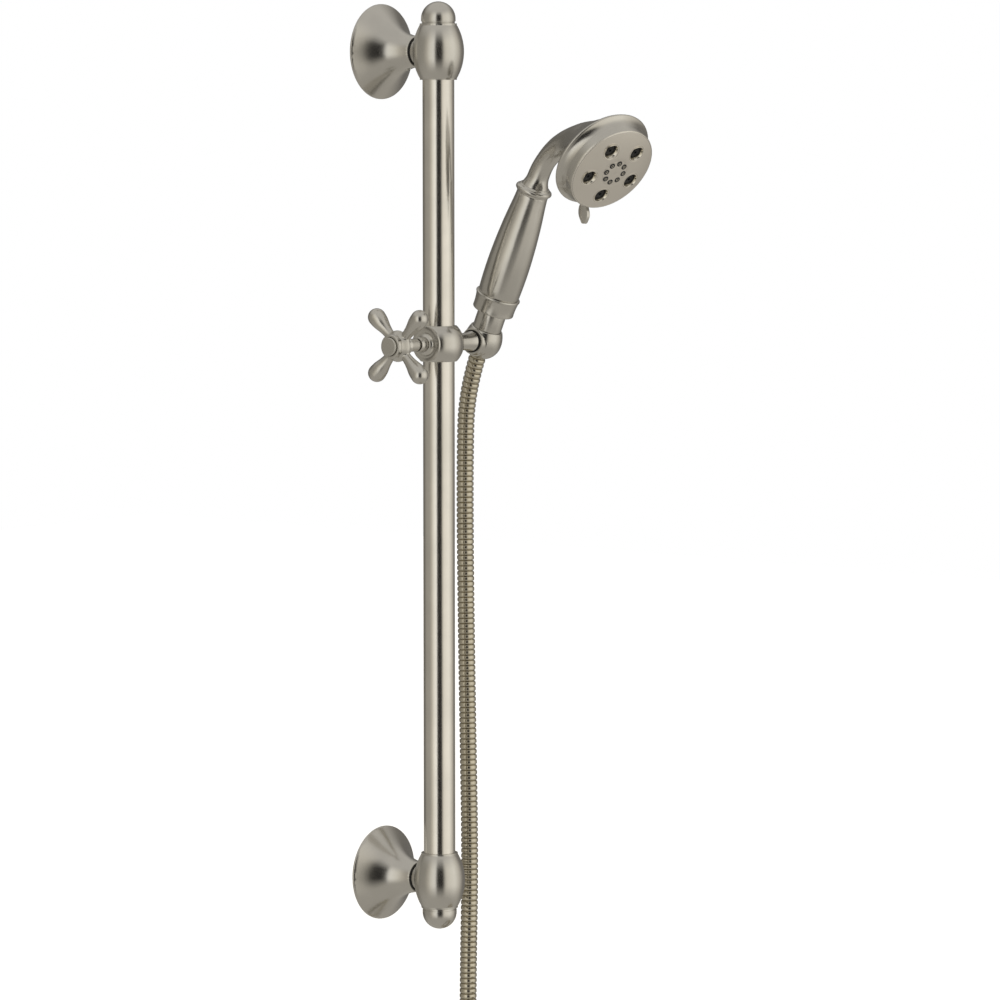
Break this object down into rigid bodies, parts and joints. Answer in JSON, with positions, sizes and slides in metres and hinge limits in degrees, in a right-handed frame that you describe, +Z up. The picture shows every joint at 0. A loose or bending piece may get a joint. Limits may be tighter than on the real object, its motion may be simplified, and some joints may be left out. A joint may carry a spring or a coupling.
{
  "type": "slide bar hand shower",
  "caption": "Hand shower with a spray lever on a corrugated metal hose, held in a tilting socket on a slider that a cross handle clamps to a wall bar.",
  "frame": {"origin": "centre of the lower wall flange, on the wall", "axes": "+Z up along the bar, +X to the right along the wall, +Y into the wall, so the set stands on the -Y side"},
  "size_m": [0.1702, 0.2257, 0.9892],
  "materials": {
    "nickel": "satin nickel plate over brass",
    "bare_brass": "plain",
    "steel": "plain",
    "hose": "satin interlocked metal strip over a rubber liner",
    "face": "satin, metallised",
    "black_rubber": "matte",
    "grey_plastic": "matte",
    "dark_plastic": "matte"
  },
  "bodies": {
    "wall_bar": {"lower_wall_plate": "steel", "lower_flange": "nickel", "lower_set_screw": "steel", "lower_gasket": "black_rubber", "lower_barrel": "nickel", "lower_bar_plug": "grey_plastic", "lower_dome": "nickel", "upper_wall_plate": "steel", "upper_flange": "nickel", "upper_set_screw": "steel", "upper_gasket": "black_rubber", "upper_barrel": "nickel", "upper_bar_plug": "grey_plastic", "upper_dome": "nickel", "bar_tube": "nickel"},
    "carriage": {"slider_bush": "grey_plastic"},
    "slider": {"slider_body": "nickel", "clamp_bonnet": "nickel", "holder_arm": "nickel", "joint_ring": "black_rubber", "joint_screw": "steel", "hose_tube": "hose", "hose_coil": "hose", "hose_tail": "hose", "coil_tie": "dark_plastic", "supply_ferrule": "nickel", "supply_washer": "black_rubber"},
    "clamp_pad": {"clamp_pad": "dark_plastic"},
    "cross_handle": {"clamp_spindle": "nickel", "cross_handle": "nickel", "handle_screw": "steel", "handle_cap": "nickel"},
    "holder": {"holder_ball": "nickel"},
    "hose_nut": {"hose_nut": "nickel", "hose_ferrule": "bare_brass", "hose_washer": "black_rubber"},
    "handset": {"handle_inlet": "grey_plastic", "handle_collar": "nickel", "handle_shell": "nickel", "water_tube": "grey_plastic", "neck_bead": "nickel", "gooseneck": "nickel", "head_shell": "nickel", "face_plate": "face", "large_jets": "dark_plastic", "spray_disc": "face", "fine_jets": "black_rubber", "face_screw": "steel", "manifold_plate": "grey_plastic"},
    "selector": {"spray_lever": "nickel", "selector_plate": "grey_plastic"},
    "supply_nut": {"supply_nut": "nickel"}
  },
  "joints": [
    {"name": "slider_slide", "type": "slide", "parent": "wall_bar", "child": "carriage", "axis": [0, 0, 1], "range_m": [-0.39, 0.195]},
    {"name": "slider_swivel", "type": "hinge", "parent": "carriage", "child": "slider", "pos_m": [0, -0.0605, 0.4342], "axis": [0, 0, 1], "range_deg": [-20, 20]},
    {"name": "pad_slide", "type": "slide", "parent": "slider", "child": "clamp_pad", "axis": [-1, 0, 0], "range_m": [0, 0.00126]},
    {"name": "knob_turn", "type": "hinge", "parent": "clamp_pad", "child": "cross_handle", "pos_m": [-0.0485, -0.0605, 0.4342], "axis": [-1, 0, 0], "range_deg": [0, 360]},
    {"name": "holder_tilt", "type": "hinge", "parent": "slider", "child": "holder", "pos_m": [0.0555, -0.0605, 0.4342], "axis": [1, 0, 0], "range_deg": [-24, 36], "deforming": ["hose_tube"]},
    {"name": "nut_lift", "type": "slide", "parent": "holder", "child": "hose_nut", "axis": [0, -0.3971, 0.9178], "range_m": [0, 0.022]},
    {"name": "handset_twist", "type": "hinge", "parent": "hose_nut", "child": "handset", "pos_m": [0.0555, -0.0605, 0.4342], "axis": [0, -0.3971, 0.9178], "range_deg": [-25, 90]},
    {"name": "spray_select", "type": "hinge", "parent": "handset", "child": "selector", "pos_m": [0.04213, -0.20367, 0.5741], "axis": [-0.1698, -0.8005, -0.5748], "range_deg": [-22, 22]},
    {"name": "supply_nut_turn", "type": "hinge", "parent": "slider", "child": "supply_nut", "pos_m": [0.09181, -0.06616, -0.15904], "axis": [0.1016, 0.5763, -0.8109], "continuous": true}
  ],
  "couplings": [
    {"joint": "pad_slide", "follows": "knob_turn", "m_per_rad": 0.00019894}
  ]
}
